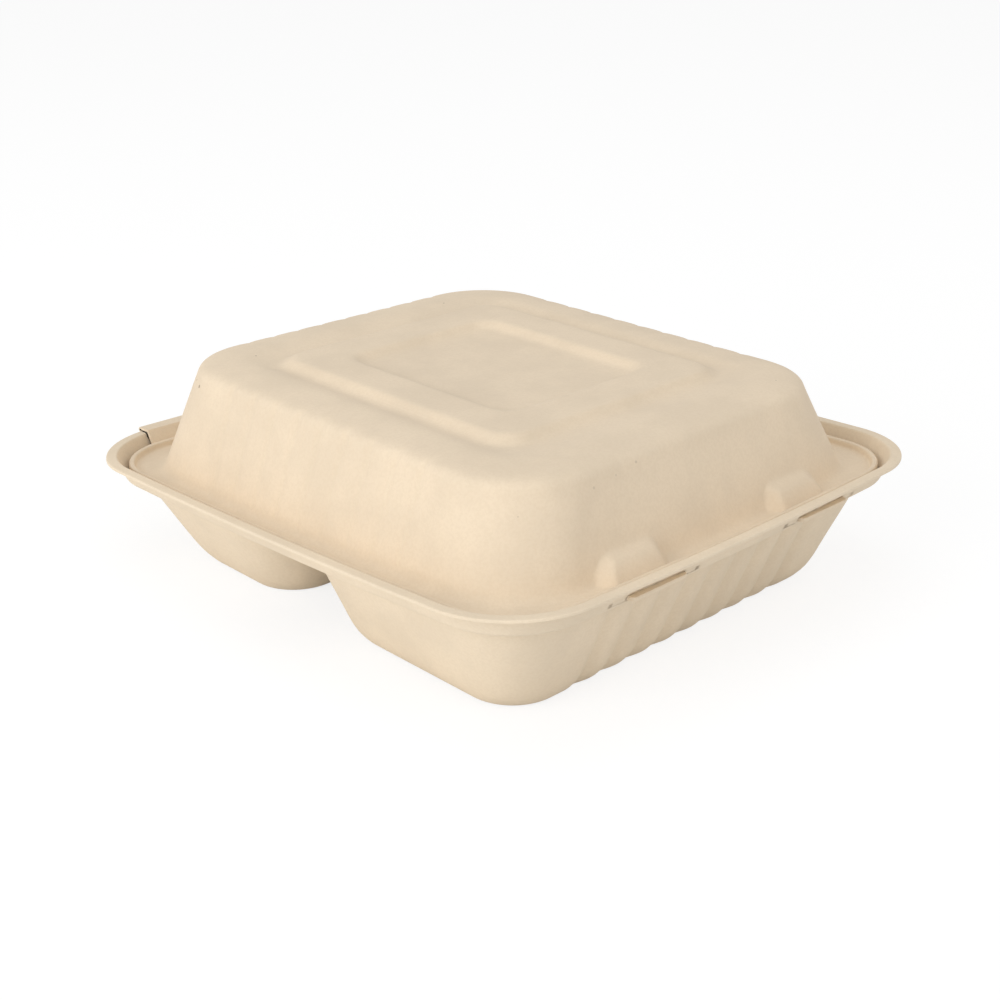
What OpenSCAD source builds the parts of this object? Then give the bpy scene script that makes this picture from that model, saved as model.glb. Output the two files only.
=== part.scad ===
// Hinged food box of moulded plant fibre: a base with three compartments and a domed lid, closed.
// Millimetres. Z is up, the front with the two locking tabs faces -Y, the box stands on z = 0.

/* [Overall] */
// width across the rim
rim_width = 230; // [190:1:270]
// depth from the front lip to the hinge crease
rim_depth = 251.6; // [200:1:290]
// height of the lip's top above the table, halfway back
rim_height = 45.9; // [36:0.5:60]
// height of the closed box
total_height = 81.3; // [70:0.5:100]
// how much lower the rim lies at the hinge than at the front
rim_drop = 9.8; // [0:0.2:12]
// radius of the rim's corners in plan
rim_corner = 36; // [30:1:44]
// how far the middle of each rim side stands outward
side_bow = 1.6; // [0:0.1:3]
// thickness of the moulded wall
wall = 1.0; // [0.8:0.1:1.4]

/* [Base rim] */
// width of the flat lip
lip_width = 4.2; // [3:0.1:6]
// depth of the step from the lip down to the ledge
upstand = 8.3; // [7:0.1:10]
// how far the step leans in on its way down
upstand_lean = 3.6; // [2:0.1:5]
// from the rim's edge to a compartment's mouth
ledge_inset = 13.2; // [12:0.1:16]

/* [Compartments] */
// half width of the floor, over all compartments
floor_half_width = 85; // [70:0.5:90]
// front edge of the floor, from the middle
floor_front = 95; // [80:0.5:100]
// rear edge of the floor, from the middle
floor_rear = 89; // [76:0.5:95]
// radius of the floor's corners in plan
floor_corner = 19.6; // [14:0.2:24]
// rounding between floor and wall
floor_round = 6; // [4:0.5:9]
// where the cross divider stands, from the middle
divider_y = 9; // [-5:0.5:20]
// width of the cross divider's flat top
divider_top = 7; // [6:0.5:14]
// width of the cross divider at the floor
divider_foot = 30; // [26:1:48]
// width of the short divider's flat top, between the small compartments
divider_top_x = 12; // [10:0.5:16]
// width of the short divider at the floor
divider_foot_x = 40; // [30:1:46]

/* [Base grooves] */
// upright grooves in the front wall
base_grooves = 9; // [5:1:9]
// spacing of these grooves
base_groove_pitch = 13.2; // [11:0.1:14]
// depth of each
base_groove_depth = 2.0; // [1:0.1:2.5]

/* [Lid rim] */
// gap all round between the lid's edge and the foot of the base's step
lid_gap = 0.6; // [0.4:0.1:1.2]
// width of the lid's raised edge
lid_bead = 2.4; // [2:0.1:3]
// height of the raised edge over the lid's flange
lid_bead_height = 2.6; // [2:0.1:3]
// clearance between the lid's flange and the ledge below it
lid_seat = 1.6; // [1:0.1:2]
// width of the lid's flange between the raised edge and the dome
lid_flange = 5.4; // [4:0.1:7]

/* [Dome] */
// how far the dome's wall leans in from foot to shoulder
dome_lean = 12; // [8:0.2:14]
// rounding between the dome's wall and its top
dome_round = 7; // [5:0.5:9]
// radius of the dome's corners at the shoulder
dome_corner = 31; // [26:0.5:36]
// how far the crest of the shoulder lies below the frame's top
crest_drop = 1.6; // [0.5:0.1:2]
// half width of the raised frame on top
frame_half_width = 57.5; // [45:0.5:60]
// half depth of the raised frame on top
frame_half_depth = 64.4; // [50:0.5:68]
// width of the raised frame
frame_width = 24; // [18:0.5:28]
// height of the raised frame
frame_height = 2.8; // [1.5:0.1:4]
// corner radius of the raised frame
frame_corner = 12; // [8:0.5:16]

/* [Dome grooves] */
// upright grooves in each side wall
side_grooves = 9; // [6:1:9]
// upright grooves in the rear wall
rear_grooves = 9; // [7:1:9]
// spacing of the dome's grooves
dome_groove_pitch = 13.2; // [11:0.1:13.6]
// depth of each
dome_groove_depth = 1.3; // [0.8:0.1:1.8]

/* [Lock] */
// distance from the middle to each locking tab
tab_offset = 44.5; // [36:0.5:46]
// length of a tab along the rim
tab_length = 27; // [20:0.5:30]
// clearance of a slot past each end of its tab
tab_play = 8; // [2:0.5:9]
// how far a tab reaches past the lid's edge
tab_reach = 3.0; // [2.4:0.1:3.4]
// height of a slot
slot_height = 2.4; // [2:0.1:2.6]
// width of a buttress over a tab, at its foot
buttress_width = 37; // [30:0.5:40]
// height of a buttress over the lid's flange
buttress_height = 8; // [6:0.5:14]
// how far a buttress stands out at its foot
buttress_depth = 5.0; // [3:0.1:6]

/* [Hinge] */
// radius of the folded crease
crease_radius = 1.1; // [0.9:0.05:1.3]
// clearance between crease and lid flap
crease_play = 0.3; // [0.2:0.05:0.5]
// gap between the lid flap and the lip below it
flap_gap = 0.6; // [0.4:0.1:1]

/* [Hidden] */
base_color = [0.86, 0.78, 0.66];
lid_color = [0.89, 0.81, 0.70];
half_w = rim_width / 2;
half_d = rim_depth / 2;
// the rim's plane falls towards the hinge by this much for each millimetre of y
fall = -rim_drop / rim_depth;
fall_angle = atan(fall);
rim_front_z = rim_height - fall * half_d;
rim_rear_z = rim_height + fall * half_d;
ledge_z = rim_height - upstand;
flange_z = ledge_z + lid_seat + wall;
shoulder_z = total_height - frame_height;
// the lid's edge follows the inside of the base's step
lid_inset = lip_width + upstand_lean + lid_gap;
foot_inset = lid_inset + lid_bead + lid_flange + 1.4;
crest_z = total_height - crest_drop;
wall_top_z = crest_z - dome_round * 0.8;
// a tab leaves the lid's edge level with the flange's lower face
tab_z = flange_z - wall * 0.9 - fall * (half_d - lid_inset);
flap_half = half_w - rim_corner + 3;
// steps round each corner of an outline
corner_steps = 5;
PLAIN = [[-40, 0], [0, 0], [40, 0]];

// A row of grooves as [place along the side, how far it stands out], between ribs that lie flush with the
// wall; the groove is cut at the shares t of its pitch, and is deepest at one half.
function grooves(count, pitch, depth, at) = [for (i = [0:count - 1], t = at)
    [(i + t - count / 2) * pitch, -depth * pow(2 * min(t, 1 - t), 2)]];
ROUND_RIBS = [0, 0.25, 0.5, 0.75];
FLAT_RIBS = [0.25, 0.5, 0.75];

// Two buttresses of half width w, a distance o either side of the middle.
function buttresses(o, w, out) = [[-o - w, 0], [-o - w * 0.88, out], [-o + w * 0.88, out], [-o + w, 0],
    [o - w, 0], [o - w * 0.88, out], [o + w * 0.88, out], [o + w, 0]];

// Points of one side from p to q: n points outward, s is the bow; a short side squeezes its marks together.
function side(p, q, n, s, marks) = let (
    l = norm(q - p) / 2,
    u = (q - p) / (2 * l),
    e = min(1, 0.96 * l / max([for (m = marks) abs(m[0])])))
    [for (m = marks) (p + q) / 2 + u * (m[0] * e) + n * (m[1] + s * (1 - pow(m[0] * e / l, 2)))];

// A quarter circle about c from angle a.
function corner(c, r, a) = [for (i = [0:corner_steps])
    let (w = a + 90 * i / corner_steps) [c[0] + r * cos(w), c[1] + r * sin(w)]];

// Rounded rectangle; marks holds what stands on its rear, left, front and right sides.
function outline(x0, x1, y0, y1, r, s, marks) = let (
    c0 = corner([x1 - r, y1 - r], r, 0),
    c1 = corner([x0 + r, y1 - r], r, 90),
    c2 = corner([x0 + r, y0 + r], r, 180),
    c3 = corner([x1 - r, y0 + r], r, 270),
    e = corner_steps)
    concat(c0, side(c0[e], c1[0], [0, 1], s, marks[0]), c1, side(c1[e], c2[0], [-1, 0], s, marks[1]),
        c2, side(c2[e], c3[0], [0, -1], s, marks[2]), c3, side(c3[e], c0[0], [1, 0], s, marks[3]));

// An outline at height z that follows the share k of the rim's fall.
function lifted(points, z, k) = [for (p = points) [p[0], p[1], z + k * fall * p[1]]];

// Solid skinned over a run of outlines, each end closed by a fan.
module loft(rings) {
    n = len(rings[0]);
    m = len(rings);
    ends = [rings[0], rings[m - 1]];
    middles = [for (g = ends) [for (a = [0:2]) (min([for (p = g) p[a]]) + max([for (p = g) p[a]])) / 2]];
    skin = [for (i = [0:m - 2], j = [0:n - 1]) let (a = i * n + j, b = i * n + (j + 1) % n)
        each [[a, b + n, b], [a, a + n, b + n]]];
    low = [for (j = [0:n - 1]) [m * n, j, (j + 1) % n]];
    high = [for (j = [0:n - 1]) [m * n + 1, (m - 1) * n + (j + 1) % n, (m - 1) * n + j]];
    polyhedron(concat([for (g = rings) each g], middles), concat(skin, low, high));
}

// A section is [half width, half depth, z, corner radius, share of the fall, bow, groove, buttress, its half width].
function section(q) = lifted(outline(-q[0] + q[5], q[0] - q[5], -q[1] + q[5], q[1] - q[5], q[3], q[5], [
    grooves(rear_grooves, dome_groove_pitch, q[6], FLAT_RIBS),
    grooves(side_grooves, dome_groove_pitch, q[6], FLAT_RIBS),
    buttresses(tab_offset, q[8], q[7]),
    grooves(side_grooves, dome_groove_pitch, q[6], FLAT_RIBS)]), q[2], q[4]);
function plain_section(q) = lifted(outline(-q[0] + q[5], q[0] - q[5], -q[1] + q[5], q[1] - q[5], q[3], q[5],
    [PLAIN, PLAIN, PLAIN, PLAIN]), q[2], q[4]);

// The wall's other face: each section moved square to the profile by d, inward and down.
function unit(v) = v / max(norm(v), 0.0001);
function course(p, i) = unit([p[i + 1][0] - p[i][0], p[i + 1][2] - p[i][2]]);
function square_to(p, i) = let (
    a = course(p, max(i - 1, 0)),
    b = course(p, min(i, len(p) - 2)),
    m = unit([-a[1] - b[1], a[0] + b[0]]))
    m / max(m * [-b[1], b[0]], 0.6);
function thinned(p, d) = [for (i = [0:len(p) - 1]) let (n = square_to(p, i) * d)
    concat([p[i][0] + n[0], p[i][1] + n[0], p[i][2] + n[1], max(p[i][3] + n[0], 0.8)],
        [for (c = [4:len(p[i]) - 1]) p[i][c]])];
function reversed(p) = [for (i = [len(p) - 1:-1:0]) p[i]];

// Base rim

// Upper face of the base from the lip's inner edge to the ledge.
function rim_profile() = [for (q = [
    [0, 0],
    [0.5, 0.5],
    [upstand_lean, upstand - 0.7],
    [upstand_lean + 0.8, upstand],
    [ledge_inset + 12 - lip_width, upstand]])
    [half_w - lip_width - q[0], half_d - lip_width - q[0], rim_height - q[1],
        max(rim_corner - lip_width - q[0], 14), 1, side_bow]];

module rim_plate() {
    top = rim_profile();
    edge = [half_w, half_d, rim_height, rim_corner, 1, side_bow];
    under = [half_w, half_d, rim_height - wall, rim_corner, 1, side_bow];
    loft([for (q = concat(reversed(thinned(top, wall)), [under, edge], top)) plain_section(q)]);
}

// Compartments

mouth_x = half_w - ledge_inset;
mouth_y = half_d - ledge_inset;

// [mouth x0, x1, y0, y1, floor x0, x1, y0, y1] of the large and the two small compartments.
BOWLS = [
    [-mouth_x, mouth_x, -mouth_y, divider_y - divider_top / 2,
        -floor_half_width, floor_half_width, -floor_front, divider_y - divider_foot / 2],
    [-mouth_x, -divider_top_x / 2, divider_y + divider_top / 2, mouth_y,
        -floor_half_width, -divider_foot_x / 2, divider_y + divider_foot / 2, floor_rear],
    [divider_top_x / 2, mouth_x, divider_y + divider_top / 2, mouth_y,
        divider_foot_x / 2, floor_half_width, divider_y + divider_foot / 2, floor_rear]];

// Section of a compartment at share t of the way from floor to mouth, drawn in by d, its grooves f deep.
function bowl_ring(b, t, d, z, r, k, f) = let (e = [for (i = [0:3]) b[4 + i] + (b[i] - b[4 + i]) * t])
    lifted(outline(e[0] + d, e[1] - d, e[2] + d, e[3] - d, max(r - d, 1), 0,
        [PLAIN, PLAIN, b[4] * b[5] < 0 ? grooves(base_grooves, base_groove_pitch, f, ROUND_RIBS) : PLAIN, PLAIN]), z, k);

// Compartment as a solid, d inside the outer face; over is how far it rises past the ledge.
module bowl(b, d, over) {
    g = floor_round;
    f = base_groove_depth;
    r = floor_corner;
    loft([
        bowl_ring(b, 0, g * 0.8 + d * 0.3, d, r - g * 0.3, 0, 0),
        bowl_ring(b, 0, g * 0.25 + d * 0.7, d + g * 0.22, r, 0, f * 0.6),
        bowl_ring(b, g / ledge_z, d, g, r + 1, 0, f),
        bowl_ring(b, 0.78, d, ledge_z * 0.78, r + 8, 0.78, f),
        bowl_ring(b, 0.94, d, ledge_z * 0.94, r + 11, 0.94, 0),
        bowl_ring(b, 1, d, ledge_z - wall / 2, r + 12, 1, 0),
        bowl_ring(b, 1, d - over * 0.3, ledge_z - wall / 2 + over, r + 12, 1, 0)]);
}

// Slot through the base's step for a tab of the lid.
module slot(side) {
    translate([side * tab_offset - tab_length / 2 - tab_play, -half_d + lip_width / 2,
        tab_z + wall / 2 - slot_height / 2])
        cube([tab_length + 2 * tab_play, upstand_lean + lip_width, slot_height]);
}

// Rounded fold along the rear of the lip; the lid turns about its axis.
crease_y = half_d - crease_radius;
crease_z = rim_height + fall * crease_y + flap_gap / 2;

module crease() {
    translate([-flap_half, crease_y, crease_z])
        rotate([0, 90, 0])
            cylinder(h = 2 * flap_half, r = crease_radius, $fn = 32);
}

module base() {
    color(base_color)
    union() {
        difference() {
            union() {
                rim_plate();
                for (b = BOWLS) bowl(b, 0, 0.1);
            }
            for (b = BOWLS) bowl(b, wall, 6);
            for (s = [-1, 1]) slot(s);
        }
        crease();
    }
}

// Lid

// Upper face of the lid from its flange over the dome to the middle of the top.
function lid_profile() = let (
    s = side_bow,
    w = half_w - lid_inset,
    d = half_d - lid_inset,
    b = lid_bead + 0.6,
    f = lid_bead + lid_flange,
    c = rim_corner - lid_inset,
    g = dome_round,
    h = frame_height,
    t = dome_groove_depth,
    o = buttress_depth,
    bw = buttress_width / 2,
    // place on the dome's wall, from foot to shoulder
    rise = wall_top_z - flange_z - 1.5,
    foot_w = w - f - 1.4,
    foot_d = d - f - 1.4,
    fw = frame_half_width,
    fd = frame_half_depth,
    iw = frame_half_width - frame_width,
    id = frame_half_depth - frame_width) [
    [w - b, d - b, flange_z, c - b, 1, s, 0, 0, bw],
    [w - f + 0.4, d - f + 0.4, flange_z, c + 2, 1, s, 0, o, bw],
    [foot_w, foot_d, flange_z + 1.5, c + 4, 1, s * 0.8, t * 0.6, o, bw * 0.97],
    for (q = [[(buttress_height - 2.5) / rise, o * 0.5, bw * 0.8], [(buttress_height - 1.5) / rise, 0, bw * 0.74]])
        [foot_w - dome_lean * q[0], foot_d - dome_lean * q[0], flange_z + 1.5 + rise * q[0],
            c + 4 + (dome_corner - c - 4) * q[0], 1 - q[0], s * (1 - q[0]), t, q[1], q[2]],
    [foot_w - dome_lean, foot_d - dome_lean, wall_top_z, dome_corner, 0, 0, t, 0, bw * 0.74],
    [foot_w - dome_lean - g * 0.19, foot_d - dome_lean - g * 0.19, wall_top_z + g * 0.46, dome_corner - g * 0.15,
        0, 0, t * 0.8, 0, bw * 0.74],
    [foot_w - dome_lean - g * 0.58, foot_d - dome_lean - g * 0.58, wall_top_z + g * 0.72, dome_corner - g * 0.4,
        0, 0, 0, 0, bw * 0.74],
    [foot_w - dome_lean - g * 1.1, foot_d - dome_lean - g * 1.1, crest_z, dome_corner - g * 0.7, 0, 0, 0, 0, bw * 0.74],
    [fw + 1, fd + 1, shoulder_z, frame_corner, 0, 0, 0, 0, bw * 0.74],
    [fw - 5, fd - 5, shoulder_z + h, frame_corner - 2, 0, 0, 0, 0, bw * 0.74],
    [iw + 3.4, id + 3.4, shoulder_z + h, frame_corner - 2, 0, 0, 0, 0, bw * 0.74],
    [iw, id, shoulder_z, frame_corner - 4, 0, 0, 0, 0, bw * 0.74]];

// The lid's moulded shell: out along its lower face, round the raised edge, and back over its upper face.
module lid_shell() {
    p = lid_profile();
    under = [for (q = thinned(p, wall)) q];
    w = half_w - lid_inset;
    d = half_d - lid_inset;
    c = rim_corner - lid_inset;
    bw = buttress_width / 2;
    top = flange_z + lid_bead_height;
    loft([for (q = concat(
        [for (i = [12, 11, 10, 9, 8, 6, 5, 4, 3, 2, 1]) under[i]],
        [[w, d, flange_z - wall, c, 1, side_bow, 0, 0, bw],
         [w, d, top - 0.4, c, 1, side_bow, 0, 0, bw],
         [w - lid_bead / 2, d - lid_bead / 2, top, c - lid_bead / 2, 1, side_bow, 0, 0, bw]],
        p)) section(q)]);
}

// Tongue of the lid that reaches out through a slot under the lip.
module tab(side) {
    reach = tab_reach + 1;
    translate([side * tab_offset, -half_d + lid_inset - tab_reach, tab_z])
        linear_extrude(wall)
            translate([-tab_length / 2, 0])
                union() {
                    translate([2, 0]) square([tab_length - 4, reach]);
                    translate([0, 2]) square([tab_length, reach - 2]);
                    translate([2, 2]) circle(r = 2, $fn = 24);
                    translate([tab_length - 2, 2]) circle(r = 2, $fn = 24);
                }
}

// Flap that carries the lid over the rear lip to the crease.
module flap() {
    v = 2 * crease_radius + crease_play;
    h = flap_gap;
    in = lid_inset + lid_bead;
    // the step's edge bows away from the flap's straight line towards the corners
    run = lip_width + side_bow + 2 * flap_gap;
    low = rim_height - flange_z;
    translate([-flap_half, half_d, rim_rear_z])
        rotate([fall_angle, 0, 0])
            rotate([90, 0, 90])
                linear_extrude(2 * flap_half)
                    polygon([[-v, h], [-run, h], [-in + 0.4, -low - wall * 0.6], [-in - 1, -low - wall * 0.6],
                        [-in - 1, -low + wall * 0.4], [-run - 0.8, h + wall], [-v, h + wall]]);
}

module lid() {
    color(lid_color)
    union() {
        lid_shell();
        for (s = [-1, 1]) tab(s);
        flap();
    }
}

base();
lid();
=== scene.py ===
import math
import bpy
import bmesh
import numpy as np
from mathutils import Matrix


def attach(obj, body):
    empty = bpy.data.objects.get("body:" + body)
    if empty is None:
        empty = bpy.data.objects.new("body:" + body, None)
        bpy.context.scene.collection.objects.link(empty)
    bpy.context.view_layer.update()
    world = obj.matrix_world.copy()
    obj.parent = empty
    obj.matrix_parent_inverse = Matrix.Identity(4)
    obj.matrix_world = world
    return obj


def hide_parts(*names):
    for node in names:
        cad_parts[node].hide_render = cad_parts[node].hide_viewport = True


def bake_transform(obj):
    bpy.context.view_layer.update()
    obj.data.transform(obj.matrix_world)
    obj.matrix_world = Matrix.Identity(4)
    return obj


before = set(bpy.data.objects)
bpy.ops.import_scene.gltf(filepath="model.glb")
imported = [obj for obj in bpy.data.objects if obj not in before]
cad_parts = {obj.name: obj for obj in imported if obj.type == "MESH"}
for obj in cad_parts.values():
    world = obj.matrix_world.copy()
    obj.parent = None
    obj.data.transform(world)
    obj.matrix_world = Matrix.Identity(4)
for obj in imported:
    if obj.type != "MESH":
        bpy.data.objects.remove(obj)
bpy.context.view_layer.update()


# Moulded base: one sheet of sugarcane fibre, pressed wet on a wire mould and dried hot. A flat lip runs round
# the rim, a step inside it leads down to a ledge, and three compartments hang from the ledge. Sizes in mm.
HALF_W, HALF_D = 115.0, 125.8
RIM_Z, FALL = 45.9, -9.8 / 251.6
RIM_CORNER, BOW, WALL = 36.0, 1.6, 1.0
LIP, STEP, STEP_LEAN, MOUTH_INSET = 4.2, 8.3, 3.6, 13.2
LEDGE_Z = RIM_Z - STEP
FLOOR_X, FLOOR_FRONT, FLOOR_REAR, FLOOR_CORNER, FLOOR_ROUND = 85.0, 95.0, 89.0, 19.6, 6.0
DIVIDER_Y, DIVIDER_TOP, DIVIDER_FOOT = 9.0, 7.0, 30.0
SHORT_TOP, SHORT_FOOT = 12.0, 40.0
LID_GAP, SEAT = 0.6, 1.6
TAB_X, TAB_LONG, TAB_PLAY, TAB_REACH = 44.5, 27.0, 8.0, 4.4
FLANGE_Z = LEDGE_Z + SEAT + WALL
EDGE_INSET = LIP + STEP_LEAN + LID_GAP
TAB_Z = FLANGE_Z - WALL * 0.9 - FALL * (HALF_D - EDGE_INSET)


def row_of_grooves(count, pitch, narrow, trim=0, steps=16):
    """Places along a side that follow a row of upright grooves, and each place's share of the depth. A groove
    is deepest in the middle of its pitch, with a small radius there, and the ribs between lie flush."""
    t = np.arange(trim, count * steps + 1 - trim) / steps
    away = np.sqrt((t % 1 - 0.5) ** 2 * 4 + 0.012)
    share = ((away.max() - away) / (away.max() - away.min())) ** narrow
    return (t - count / 2) * pitch, -share


def plain_side(reach=60.0, steps=24):
    return np.linspace(-reach, reach, steps + 1), np.zeros(steps + 1)


def side(p, q, outward, bow, places, lift, ends=7):
    """One side of a ring from p to q: lift stands outward at its places, bow in the middle."""
    half = np.linalg.norm(q - p) / 2
    along = (q - p) / (2 * half)
    squeeze = min(1.0, 0.96 * half / np.abs(places).max())
    m = places * squeeze
    tail = np.linspace(m[-1], half, ends + 2)[1:-1]
    m = np.concatenate([-tail[::-1], m, tail])
    out = np.concatenate([np.zeros(ends), lift, np.zeros(ends)])
    return (p + q) / 2 + m[:, None] * along + (out + bow * (1 - (m / half) ** 2))[:, None] * outward


def ring(x0, x1, y0, y1, r, bow, marks, steps=28):
    """Rounded rectangle as points: marks holds (places, lift) of its rear, left, front and right sides."""
    def corner(cx, cy, start):
        w = start + np.linspace(0, math.pi / 2, steps + 1)
        return np.stack([cx + r * np.cos(w), cy + r * np.sin(w)], 1)
    c = [corner(x1 - r, y1 - r, 0), corner(x0 + r, y1 - r, math.pi / 2),
         corner(x0 + r, y0 + r, math.pi), corner(x1 - r, y0 + r, 1.5 * math.pi)]
    outward = np.array([[0, 1], [-1, 0], [0, -1], [1, 0]], float)
    parts = []
    for i in range(4):
        parts += [c[i], side(c[i][-1], c[(i + 1) % 4][0], outward[i], bow, *marks[i])]
    return np.concatenate(parts)


def lifted(points, z, share):
    """A ring at height z that follows a share of the rim's fall towards the hinge."""
    return np.column_stack([points, z + share * FALL * points[:, 1]])


def eased(rows, steps=4):
    """Control rows drawn through as a smooth curve, so that every pressed edge gets its radius."""
    rows = np.array(rows, float)
    mid = (rows[1:] + rows[:-1]) / 2
    out = [rows[0]]
    for i in range(1, len(rows) - 1):
        a = mid[i - 1] if i > 1 else rows[0]
        b = mid[i] if i < len(rows) - 2 else rows[-1]
        for t in np.arange(steps) / steps:
            if i > 1 or t > 0:
                out.append(a * (1 - t) ** 2 + rows[i] * 2 * t * (1 - t) + b * t * t)
    return np.array(out + [rows[-1]])


def other_face(rows, gap):
    """The rows moved square to their section by gap, to the side below."""
    d = np.gradient(rows[:, [0, 2]], axis=0)
    d /= np.maximum(np.linalg.norm(d, axis=1), 1e-9)[:, None]
    n = np.column_stack([-d[:, 1], d[:, 0]]) * gap
    out = rows.copy()
    out[:, 0] += n[:, 0]
    out[:, 1] += n[:, 0]
    out[:, 2] += n[:, 1]
    out[:, 3] = np.maximum(out[:, 3] + n[:, 0], 0.8)
    return out


def skin(name, rings):
    """Closed mesh over a run of rings, both ends filled by a fan. As wound here, its faces point inwards."""
    m, n = len(rings), len(rings[0])
    points = np.concatenate(list(rings) + [[rings[0].mean(0)], [rings[-1].mean(0)]])
    j = np.arange(n)
    k = (j + 1) % n
    faces = [[i * n + a, (i + 1) * n + a, (i + 1) * n + b, i * n + b]
             for i in range(m - 1) for a, b in zip(j.tolist(), k.tolist())]
    faces += [[m * n, a, b] for a, b in zip(j.tolist(), k.tolist())]
    faces += [[m * n + 1, (m - 1) * n + b, (m - 1) * n + a] for a, b in zip(j.tolist(), k.tolist())]
    mesh = bpy.data.meshes.new(name)
    mesh.from_pydata((points * 0.001).tolist(), [], faces)
    mesh.update()
    piece = bpy.data.objects.new(name, mesh)
    bpy.context.scene.collection.objects.link(piece)
    return piece


def rim_rows():
    """Upper face of the base, from the lip's edge over the step to the ledge: half w, half d, z, corner."""
    inset = [(0, WALL), (0, 0.35), (0.3, 0), (1.2, 0), (LIP - 1.2, 0), (LIP - 0.2, 0), (LIP + 0.3, 0.7),
             (LIP + STEP_LEAN * 0.5, STEP * 0.5), (LIP + STEP_LEAN - 0.3, STEP - 1.1),
             (LIP + STEP_LEAN + 0.3, STEP), (LIP + STEP_LEAN + 2.0, STEP), (MOUTH_INSET + 12, STEP)]
    return [[HALF_W - i, HALF_D - i, RIM_Z - z, max(RIM_CORNER - i, 14)] for i, z in inset]


def rim_ring(row):
    w, d, z, r = row
    return lifted(ring(-w + BOW, w - BOW, -d + BOW, d - BOW, r, BOW, [plain_side()] * 4), z, 1)


LIP_EDGE_ROWS = 9
upper = eased(rim_rows())
lower = other_face(upper, WALL)[LIP_EDGE_ROWS:][::-1]
rim = skin("base_moulding", [rim_ring(q) for q in np.concatenate([lower, upper])])

MOUTH_X, MOUTH_Y = HALF_W - MOUTH_INSET, HALF_D - MOUTH_INSET
BOWLS = [
    (-MOUTH_X, MOUTH_X, -MOUTH_Y, DIVIDER_Y - DIVIDER_TOP / 2,
     -FLOOR_X, FLOOR_X, -FLOOR_FRONT, DIVIDER_Y - DIVIDER_FOOT / 2),
    (-MOUTH_X, -SHORT_TOP / 2, DIVIDER_Y + DIVIDER_TOP / 2, MOUTH_Y,
     -FLOOR_X, -SHORT_FOOT / 2, DIVIDER_Y + DIVIDER_FOOT / 2, FLOOR_REAR),
    (SHORT_TOP / 2, MOUTH_X, DIVIDER_Y + DIVIDER_TOP / 2, MOUTH_Y,
     SHORT_FOOT / 2, FLOOR_X, DIVIDER_Y + DIVIDER_FOOT / 2, FLOOR_REAR)]
BASE_GROOVES = row_of_grooves(9, 13.2, 2)
BASE_GROOVE_DEEP = 2.0


def bowl_ring(b, t, d, z, r, share, out):
    e = [b[4 + i] + (b[i] - b[4 + i]) * t for i in range(4)]
    front = (BASE_GROOVES[0], BASE_GROOVES[1] * out) if b[4] * b[5] < 0 else plain_side(30)
    marks = [plain_side(30), plain_side(30), front, plain_side(30)]
    return lifted(ring(e[0] + d, e[1] - d, e[2] + d, e[3] - d, max(r - d, 1), 0, marks, 16), z, share)


def bowl(name, b, d, mouth):
    """One compartment as a solid, d inside its outer face; mouth is the flare that rounds its upper edge."""
    g, f, r, top = FLOOR_ROUND, BASE_GROOVE_DEEP, FLOOR_CORNER, LEDGE_Z
    rows = [(0, g * 0.8 + d * 0.3, d, r - g * 0.3, 0, 0),
            (0, g * 0.45 + d * 0.5, d + g * 0.02, r, 0, f * 0.3),
            (0, g * 0.14 + d * 0.8, d + g * 0.26, r, 0, f * 0.8),
            (g / top, d, g, r + 1, 0, f),
            (0.4, d, top * 0.4, r + 4, 0.4, f),
            (0.78, d, top * 0.78, r + 8, 0.78, f),
            (0.9, d, top * 0.9, r + 10.5, 0.9, f * 0.4)]
    rows += [(1 - h / top * 0.6, d - w, top - h, r + 12, 1, 0) for w, h in mouth]
    return skin(name, [bowl_ring(b, *q) for q in eased(rows)])


# where a compartment's outer face runs out under the ledge, and where its inner face rounds over onto it
UNDER = [(0, WALL + 3.4), (0.3, WALL + 1.4), (1.2, WALL + 0.35), (2.6, WALL + 0.02), (2.6, WALL * 0.5)]
OVER = [(0, 2.8), (0.25, 1.2), (0.9, 0.3), (2.0, -0.02), (2.3, -0.6), (2.8, -7)]
joined = [bowl(f"compartment_{i}", b, 0, UNDER) for i, b in enumerate(BOWLS)]
taken = [bowl(f"hollow_{i}", b, WALL, OVER) for i, b in enumerate(BOWLS)]
# each slot is a slit at the foot of the step, and rises in the middle for its tab
SLOT_OUTER, SLOT_INNER = 2.1, 9.9
SLIT_LOW, SLIT_HIGH, GATE_LOW, GATE_HIGH, GATE_PLAY = -1.2, 0.7, -0.6, 1.5, 0.5


def cutter(name, x0, x1, y0, y1, low, high):
    """A box to cut with at the tabs, from low to high over the foot of their tongues."""
    places = np.array([[x1, y0], [x1, y1], [x0, y1], [x0, y0]])
    return skin(name, [np.column_stack([places, np.full(4, TAB_Z + h)]) for h in (low, high)])


for s in (-1, 1):
    for part, half, low, high in (("slit", TAB_LONG / 2 + TAB_PLAY, SLIT_LOW, SLIT_HIGH),
                                  ("gate", TAB_LONG / 2 + GATE_PLAY, GATE_LOW, GATE_HIGH)):
        taken.append(cutter(f"{part}_{s}", s * TAB_X - half, s * TAB_X + half,
                            -HALF_D + SLOT_OUTER, -HALF_D + SLOT_INNER, low, high))

CRISP = math.radians(38)


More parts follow.
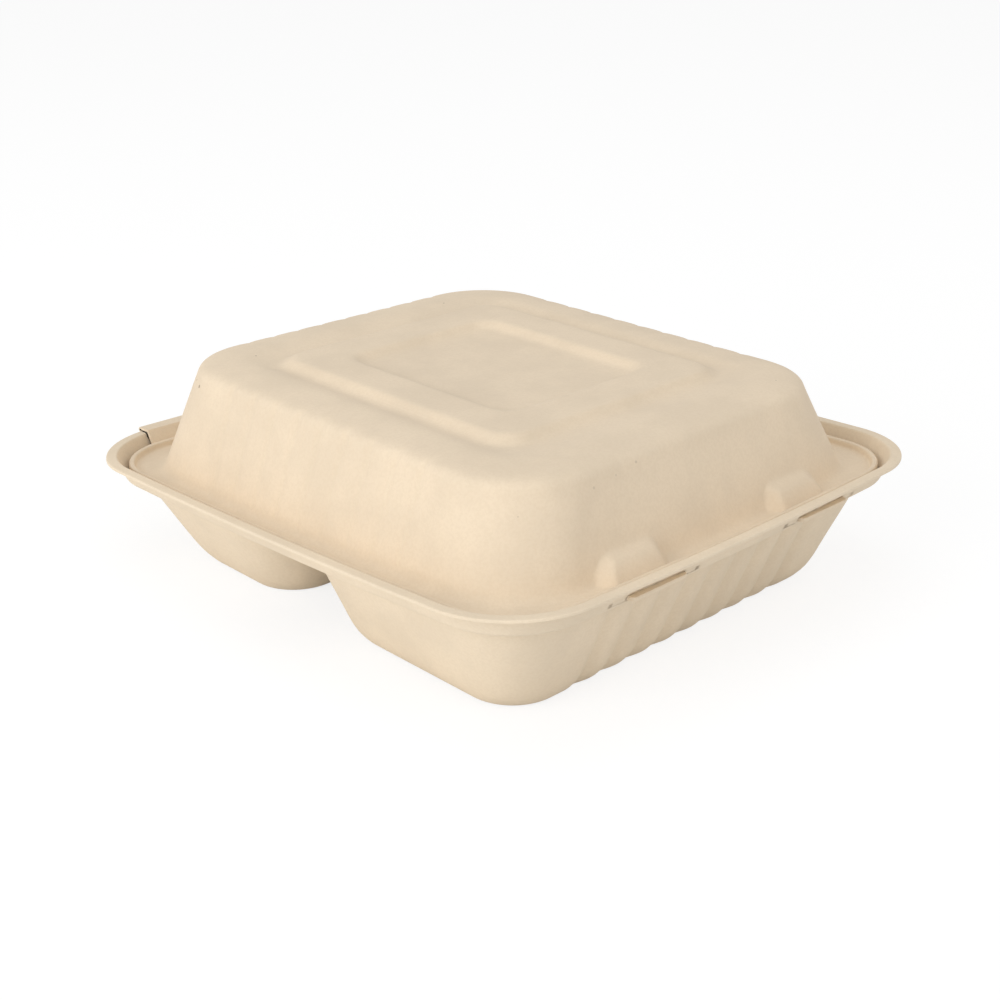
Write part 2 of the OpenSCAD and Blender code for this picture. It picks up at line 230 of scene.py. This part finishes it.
def moulded(piece, add, take, name):
    """The piece with others joined on and taken away, as one plain mesh with its pressed edges kept crisp.
    A fault is left: thin plates stay across the base's compartments at the ledge."""
    for other, operation in [(o, "UNION") for o in add] + [(o, "DIFFERENCE") for o in take]:
        step = piece.modifiers.new("step", "BOOLEAN")
        step.operation, step.solver, step.object = operation, "MANIFOLD", other
    mesh = bpy.data.meshes.new_from_object(piece.evaluated_get(bpy.context.evaluated_depsgraph_get()))
    for o in [piece] + add + take:
        bpy.data.objects.remove(o)
    work = bmesh.new()
    work.from_mesh(mesh)
    bmesh.ops.remove_doubles(work, verts=work.verts, dist=2e-5)
    bmesh.ops.dissolve_degenerate(work, edges=work.edges, dist=1e-6)
    work.to_mesh(mesh)
    work.free()
    mesh.name = name
    mesh.materials.clear()
    mesh.shade_smooth()
    mesh.set_sharp_from_angle(angle=CRISP)
    made = bpy.data.objects.new(name, mesh)
    bpy.context.scene.collection.objects.link(made)
    return made


base = moulded(rim, joined, taken, "base_moulding")


class Value:
    """A socket of a shader tree that Python's own operators work on."""
    tree = None

    def __init__(self, socket):
        self.socket = socket

    @classmethod
    def node(cls, kind, inputs=(), output=0, **settings):
        made = cls.tree.nodes.new(kind)
        for key, setting in settings.items():
            if key == "stops":
                ramp = made.color_ramp
                ramp.elements[0].position, ramp.elements[0].color = setting[0]
                ramp.elements[1].position, ramp.elements[1].color = setting[-1]
                for place, tint in setting[1:-1]:
                    ramp.elements.new(place).color = tint
            else:
                setattr(made, key, setting)
        for key, item in dict(inputs).items():
            if isinstance(item, Value):
                cls.tree.links.new(item.socket, made.inputs[key])
            else:
                made.inputs[key].default_value = item
        return cls(made.outputs[output]) if made.outputs else None

    def maths(self, operation, other=0.0, swap=False):
        a, b = (other, self) if swap else (self, other)
        return Value.node("ShaderNodeMath", {0: a, 1: b}, operation=operation)

    def __add__(self, o): return self.maths("ADD", o)
    def __radd__(self, o): return self.maths("ADD", o)
    def __sub__(self, o): return self.maths("SUBTRACT", o)
    def __rsub__(self, o): return self.maths("SUBTRACT", o, True)
    def __mul__(self, o): return self.maths("MULTIPLY", o)
    def __rmul__(self, o): return self.maths("MULTIPLY", o)
    def less(self, o): return self.maths("LESS_THAN", o)
    def sine(self): return self.maths("SINE")

    def between(self, low, high, a=0.0, b=1.0):
        return Value.node("ShaderNodeMapRange", {0: self, 1: low, 2: high, 3: a, 4: b},
                          interpolation_type="SMOOTHSTEP")


def fibre(name, colour, shift, specks=()):
    """Unbleached moulded fibre: matt, faintly cloudy, with short fibres, dark specks and the wire's print."""
    made = bpy.data.materials.new(name)
    made.use_nodes = True
    Value.tree = made.node_tree
    made.node_tree.nodes.clear()
    coords = Value.node("ShaderNodeTexCoord", output=3)
    place = Value.node("ShaderNodeMapping", {0: coords, 1: shift})

    def noise(scale, detail, rough=0.5, stretch=None):
        at = Value.node("ShaderNodeMapping", {0: place, 3: stretch}) if stretch else place
        return Value.node("ShaderNodeTexNoise", {0: at, 2: scale, 3: detail, 4: rough})

    cloud = noise(38, 3, 0.6)
    grain = noise(900, 4, 0.65)
    hairs = noise(520, 2, 0.6, (1, 1, 0.22))
    flecks = Value.node("ShaderNodeTexVoronoi", {0: place, 2: 95.0}, feature="F1")
    rare = Value.node("ShaderNodeTexWhiteNoise", {0: Value.node(
        "ShaderNodeTexVoronoi", {0: place, 2: 95.0}, output=2, feature="F1")})
    fleck = flecks.less(0.035) * rare.less(0.10)
    for point, size, dark in specks:
        spot = Value.node("ShaderNodeVectorMath", {0: coords, 1: point}, output=1, operation="DISTANCE")
        fleck = fleck.maths("MAXIMUM", spot.less(size) * dark)
    light, dark = [tuple(c * k for c in colour) + (1,) for k in (1.025, 0.965)]
    tone = Value.node("ShaderNodeMix", {0: cloud.between(0.35, 0.65), 6: light, 7: dark}, 2, data_type="RGBA")
    tone = Value.node("ShaderNodeMix", {0: (1 - grain.between(0.38, 0.6)) * 0.22, 6: tone,
                                        7: tuple(c * k for c, k in zip(colour, (0.86, 0.82, 0.76))) + (1,)},
                      2, data_type="RGBA")
    tone = Value.node("ShaderNodeMix", {0: fleck * 0.6, 6: tone, 7: (0.17, 0.11, 0.06, 1)}, 2, data_type="RGBA")
    parts = Value.node("ShaderNodeSeparateXYZ", {0: coords})
    axes = [Value(parts.socket.node.outputs[i]) for i in range(3)]
    per_wire = 2 * math.pi / 0.0011
    wire = sum([(a * per_wire).sine() for a in axes[1:]], (axes[0] * per_wire).sine())
    print_here = noise(17, 2).between(0.5, 0.68)
    height = grain * 0.6 + hairs * 0.5 + wire * print_here * 0.06 + cloud * 1.2
    bump = Value.node("ShaderNodeBump", {0: 0.28, 1: 0.00028, "Height": height})
    shader = Value.node("ShaderNodeBsdfPrincipled", {
        "Base Color": tone, "Roughness": grain.between(0.3, 0.7, 0.72, 0.86), "Normal": bump})
    body = shader.socket.node
    body.inputs["Specular IOR Level"].default_value = 0.28
    body.inputs["Sheen Weight"].default_value = 0.06
    body.inputs["Sheen Roughness"].default_value = 0.6
    Value.node("ShaderNodeOutputMaterial", {0: shader})
    return made


BASE_FIBRE = fibre("base_fibre", (0.805, 0.68, 0.515), (0.3, 0.1, 0.0))
base.data.materials.append(BASE_FIBRE)
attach(base, "base")
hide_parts("base")


# Moulded lid: the same fibre pressed to a thin dome. Its raised edge lies inside the base's step, grooves
# stiffen three walls, two buttresses stand over the locking tabs, and the top has a raised frame.
BEAD, BEAD_HIGH, FLANGE = 2.4, 2.6, 5.4
LEAN, ROUND, DOME_CORNER, TOP_Z, CREST_DROP = 12.0, 7.0, 31.0, 81.3, 1.6
FRAME_X, FRAME_Y, FRAME_WIDE, FRAME_HIGH, FRAME_CORNER = 57.5, 64.4, 24.0, 2.8, 12.0
DOME_GROOVES = row_of_grooves(9, 13.2, 5, 4)
DOME_GROOVE_DEEP = 0.6
BUTTRESS_X, BUTTRESS_WIDE, BUTTRESS_HIGH, BUTTRESS_OUT = 43.6, 34.0, 9.0, 5.0
BUTTRESS_REACH, BUTTRESS_FLANK = 61, 0.36
SHOULDER_Z, CREST_Z = TOP_Z - FRAME_HIGH, TOP_Z - CREST_DROP
WALL_TOP_Z = CREST_Z - ROUND * 0.8


def buttresses(half):
    """Places and lift of the front wall's two buttresses, each with a flat face and eased flanks."""
    places = np.linspace(-BUTTRESS_REACH, BUTTRESS_REACH, 163)
    away = np.abs(np.abs(places) - BUTTRESS_X) / half
    t = np.clip((1.0 - away) / BUTTRESS_FLANK, 0, 1)
    return places, t * t * (3 - 2 * t)


def lid_ring(row):
    w, d, z, r, share, bow, deep, out, half = row
    places, lift = buttresses(half)
    grooved = (DOME_GROOVES[0], DOME_GROOVES[1] * deep)
    marks = [grooved, grooved, (places, lift * out), grooved]
    return lifted(ring(-w + bow, w - bow, -d + bow, d - bow, r, bow, marks), z, share)


def lid_rows():
    """Upper face of the lid: half w, half d, z, corner, share of fall, bow, groove, buttress, its half w."""
    w, d, c = HALF_W - EDGE_INSET, HALF_D - EDGE_INSET, RIM_CORNER - EDGE_INSET
    t, o, bw, h = DOME_GROOVE_DEEP, BUTTRESS_OUT, BUTTRESS_WIDE / 2, FRAME_HIGH
    f = BEAD + FLANGE
    top = FLANGE_Z + BEAD_HIGH
    edge = [(0, FLANGE_Z - WALL), (0, FLANGE_Z), (0, top - 0.7), (0.45, top), (BEAD - 0.5, top - 0.1),
            (BEAD - 0.1, top - 0.8), (BEAD + 0.2, FLANGE_Z + 0.4), (BEAD + 1.1, FLANGE_Z)]
    rows = [[w - i, d - i, z, c - i, 1, BOW, 0, 0, bw] for i, z in edge]
    rise = WALL_TOP_Z - FLANGE_Z - 1.5
    fw, fd = w - f - 1.4, d - f - 1.4
    rows += [[w - f + 1.8, d - f + 1.8, FLANGE_Z, c, 1, BOW, 0, o * 0.9, bw],
             [w - f, d - f, FLANGE_Z + 0.1, c + 3, 1, BOW, t * 0.3, o, bw]]
    for q, out, half in [(0.01, o * 0.98, bw * 0.98), ((BUTTRESS_HIGH - 4.6) / rise, o * 0.8, bw * 0.88),
                         ((BUTTRESS_HIGH - 2.4) / rise, o * 0.55, bw * 0.79),
                         ((BUTTRESS_HIGH - 1.4) / rise, 0, bw * 0.74),
                         (0.32, 0, bw * 0.74), (0.7, 0, bw * 0.74)]:
        rows.append([fw - LEAN * q, fd - LEAN * q, FLANGE_Z + 1.5 + rise * q, c + 4 + (DOME_CORNER - c - 4) * q,
                     1 - q, BOW * (1 - q), t, out, half])
    for i, z, r, deep in [(0, 0, 0, 0.9), (1.2, 3.1, 1, 1.2), (3.6, 4.5, 3, 0.9), (8, 5.2, 6, 0),
                          (13, 5.7, 10, 0), (17.5, 5.9, 14, 0), (20.5, 5.6, 16, 0)]:
        rows.append([fw - LEAN - i, fd - LEAN - i, WALL_TOP_Z + z, DOME_CORNER - r, 0, 0, deep, 0, bw * 0.74])
    iw, il = FRAME_X - FRAME_WIDE, FRAME_Y - FRAME_WIDE
    top_rows = [(FRAME_X + 4, FRAME_Y + 4, 0.3, FRAME_CORNER + 2),
                (FRAME_X + 1.2, FRAME_Y + 1.2, 0.0, FRAME_CORNER),
                (FRAME_X - 1.4, FRAME_Y - 1.4, h * 0.55, FRAME_CORNER - 1),
                (FRAME_X - 3.2, FRAME_Y - 3.2, h, FRAME_CORNER - 2),
                (FRAME_X - 7, FRAME_Y - 7, h, FRAME_CORNER - 3),
                (iw + 8, il + 8, h, FRAME_CORNER - 2), (iw + 4.4, il + 4.4, h, FRAME_CORNER - 3),
                (iw + 2.2, il + 2.2, h * 0.5, FRAME_CORNER - 4), (iw, il, 0.05, FRAME_CORNER - 5),
                (iw - 3, il - 3, 0, FRAME_CORNER - 6)]
    rows += [[x, y, SHOULDER_Z + z, r, 0, 0, 0, 0, bw * 0.74] for x, y, z, r in top_rows]
    return rows


upper = eased(lid_rows(), 3)
first = int(np.argmax(upper[:, 0] < HALF_W - EDGE_INSET - BEAD - 2.2))
lower = other_face(upper, WALL)[first:][::-1][::2]
lid = skin("lid_moulding", [lid_ring(q) for q in np.concatenate([lower, upper])])


# Locking tabs: two tongues of the lid's front edge, pressed with it, that reach out through the base's slots
# and hold the box shut.
def tongue(name, s):
    """Flat tongue with rounded corners, from inside the lid's raised edge out past the base's step."""
    half, reach, r = TAB_LONG / 2, TAB_REACH + 1.2, 2.0
    w = np.linspace(math.pi, 1.5 * math.pi, 9)
    left = np.column_stack([-half + r + r * np.cos(w), r + r * np.sin(w)])
    right = left[::-1] * [-1, 1]
    shape = np.concatenate([left, right, [[half, reach], [-half, reach]]])
    shape += [s * TAB_X, -HALF_D + EDGE_INSET - TAB_REACH]
    inner = shape.mean(0)
    small = inner + (shape - inner) * [0.985, 0.9]
    return skin(name, [np.column_stack([a, np.full(len(a), TAB_Z + h)]) for a, h in
                       [(small, -0.4), (shape, -0.1), (shape, WALL - 0.1), (small, WALL + 0.1)]])


# Rear flap: the lid's edge between its rear corners, which climbs over the base's step to the fold. It is
# pressed with the lid and is part of it.
CREASE_R, FLAP_GAP = 1.1, 0.6
FLAP_HALF = HALF_W - RIM_CORNER + 3
CREASE_Y = HALF_D - CREASE_R
CREASE_Z = RIM_Z + FALL * CREASE_Y + FLAP_GAP / 2
# (place, radius, strength) of the specks that show on the lid, in metres
SPECKS = [((-0.0844, 0.0743, 0.0729), 0.0007, 1.0), ((-0.0501, -0.0968, 0.0726), 0.0005, 0.3),
          ((-0.0288, -0.0957, 0.0754), 0.0005, 0.35), ((-0.0772, -0.0897, 0.0685), 0.0004, 0.3),
          ((-0.0392, -0.0963, 0.0738), 0.0004, 0.25)]
LID_FIBRE = fibre("lid_fibre", (0.797, 0.665, 0.50), (0.0, 0.0, 0.0), SPECKS)


def flap_section():
    """The flap's closed section as (distance behind the rim's edge, height over the lip)."""
    low = RIM_Z - FLANGE_Z
    inner, run = EDGE_INSET + BEAD, LIP + BOW + 2 * FLAP_GAP
    return [(-2.5, FLAP_GAP), (-run, FLAP_GAP), (-inner + 0.4, -low - WALL * 0.6),
            (-inner - 1, -low - WALL * 0.6), (-inner - 1, -low + WALL * 0.4), (-run - 0.8, FLAP_GAP + WALL),
            (-2.5, FLAP_GAP + WALL)]


def across(name, section, ends, y, z):
    """A closed section drawn across the box through ends, laid at y and z and tilted with the rim's fall."""
    tilt = math.atan(FALL)
    away = section[:, 0] * math.cos(tilt) - section[:, 1] * math.sin(tilt) + y
    up = section[:, 0] * math.sin(tilt) + section[:, 1] * math.cos(tilt) + z
    return skin(name, [np.column_stack([np.full(len(section), x), away, up]) for x in ends[::-1]])


flap = across("rear_flap", np.array(flap_section()),
              np.array([-FLAP_HALF, -FLAP_HALF + 0.4, FLAP_HALF - 0.4, FLAP_HALF]),
              HALF_D, RIM_Z + FALL * HALF_D)

# the lid's edge is notched from below on both sides of each tongue, so that the tongue can bend
NOTCH_LOW, NOTCH_HIGH, NOTCH_OUT, NOTCH_IN = -1.5, 1.3, 1, 4
NOTCH_NEAR, NOTCH_FAR = TAB_LONG / 2 + 0.2, TAB_LONG / 2 + TAB_PLAY - 0.6
edge = -HALF_D + EDGE_INSET
notches = []
for x in (-TAB_X, TAB_X):
    for left, right in ((-NOTCH_FAR, -NOTCH_NEAR), (NOTCH_NEAR, NOTCH_FAR)):
        notches.append(cutter(f"notch_{len(notches)}", x + left, x + right,
                              edge - NOTCH_OUT, edge + NOTCH_IN, NOTCH_LOW, NOTCH_HIGH))

lid = moulded(lid, [tongue("tongue_left", -1), tongue("tongue_right", 1), flap], notches, "lid_moulding")
lid.data.materials.append(LID_FIBRE)
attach(lid, "lid")
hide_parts("lid")


# Fold: the thin strip of fibre, pressed hard and bent round, that joins the lip's rear edge to the lid's flap.
def fold(name):
    """A sheet bent round the fold's axis, from inside the lip's thickness round the back into the flap's."""
    outer, inner = CREASE_R - 0.02, CREASE_R - 0.72
    w = np.linspace(-math.pi / 2, math.pi / 2, 13)
    arcs = [np.column_stack([r * np.cos(w), r * np.sin(w)]) for r in (outer, inner)]
    section = np.concatenate([[[-1.5, -outer]], arcs[0], [[-1.75, outer], [-1.75, inner]], arcs[1][::-1],
                              [[-1.5, -inner]]])
    piece = across(name, section, np.linspace(-FLAP_HALF + 0.3, FLAP_HALF - 0.3, 9), CREASE_Y, CREASE_Z)
    piece.data.shade_smooth()
    piece.data.set_sharp_from_angle(angle=CRISP)
    return piece


web = fold("fold")
web.data.materials.append(BASE_FIBRE)
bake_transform(web)


# Floor and light: a plain pale floor that keeps the box's shadow, a soft white room, and three soft boxes, of
# which the left one is the strongest.
FLOOR_GLOW, FLOOR_SHARE, ROOM_LIGHT = 1.1, 0.72, 0.62


def pale_floor():
    made = bpy.data.materials.new("pale_floor")
    made.use_nodes = True
    Value.tree = made.node_tree
    made.node_tree.nodes.clear()
    seen = Value.node("ShaderNodeLightPath")
    matt = Value.node("ShaderNodeBsdfDiffuse", {0: (0.9, 0.9, 0.9, 1)})
    glow = Value.node("ShaderNodeEmission", {0: (1, 1, 1, 1), 1: FLOOR_GLOW})
    both = Value.node("ShaderNodeMixShader", {0: seen * FLOOR_SHARE, 1: matt, 2: glow})
    Value.node("ShaderNodeOutputMaterial", {0: both})
    return made


sheet = bpy.data.meshes.new("floor")
sheet.from_pydata([(-4, -4, 0), (4, -4, 0), (4, 4, 0), (-4, 4, 0)], [], [(0, 1, 2, 3)])
floor = bpy.data.objects.new("floor", sheet)
bpy.context.scene.collection.objects.link(floor)
floor.data.materials.append(pale_floor())

room = bpy.data.worlds.new("room")
bpy.context.scene.world = room
room.use_nodes = True
Value.tree = room.node_tree
room.node_tree.nodes.clear()
path = Value.node("ShaderNodeLightPath")
seen = path.maths("MAXIMUM", Value(path.socket.node.outputs["Is Glossy Ray"])).maths(
    "MAXIMUM", Value(path.socket.node.outputs["Is Transmission Ray"]))
strength = seen * (1 - ROOM_LIGHT) + ROOM_LIGHT
Value.node("ShaderNodeOutputWorld", {0: Value.node("ShaderNodeBackground", {0: (1, 1, 1, 1), 1: strength})})


def soft_box(name, place, size, power):
    lamp = bpy.data.lights.new(name, "AREA")
    lamp.shape, lamp.size, lamp.energy = "SQUARE", size, power
    holder = bpy.data.objects.new(name, lamp)
    bpy.context.scene.collection.objects.link(holder)
    holder.location = place
    away = np.array(place) - np.array([0, 0, 0.04])
    holder.rotation_euler = (math.atan2(math.hypot(away[0], away[1]), away[2]), 0,
                             math.atan2(away[1], away[0]) + math.pi / 2)


soft_box("left_light", (-1.55, 0.0, 0.6), 1.0, 11.5)
soft_box("front_light", (0.15, -1.6, 1.0), 1.2, 4.5)
soft_box("top_light", (-0.2, 0.2, 1.9), 1.4, 4)

# Camera: where the photograph was taken from, at its own angle and framing. The place, the point it looks at
# and the shifts were fitted to the rim's outline and the top of the dome.
CAMERA_PLACE, CAMERA_AIM = (-0.39527, -0.41042, 0.26532), (0, 0, 0.0437)
lens = bpy.data.cameras.new("camera")
lens.lens, lens.sensor_width = 56.81, 36
lens.shift_x, lens.shift_y = 0.00325, -0.0463
lens.clip_start, lens.clip_end = 0.01, 50
camera = bpy.data.objects.new("camera", lens)
bpy.context.scene.collection.objects.link(camera)
camera.location = CAMERA_PLACE
to = np.array(CAMERA_AIM) - np.array(camera.location)
camera.rotation_euler = (math.atan2(math.hypot(to[0], to[1]), -to[2]), 0,
                         math.atan2(to[1], to[0]) - math.pi / 2)
bpy.context.scene.camera = camera
bpy.context.scene.view_settings.view_transform = "Standard"
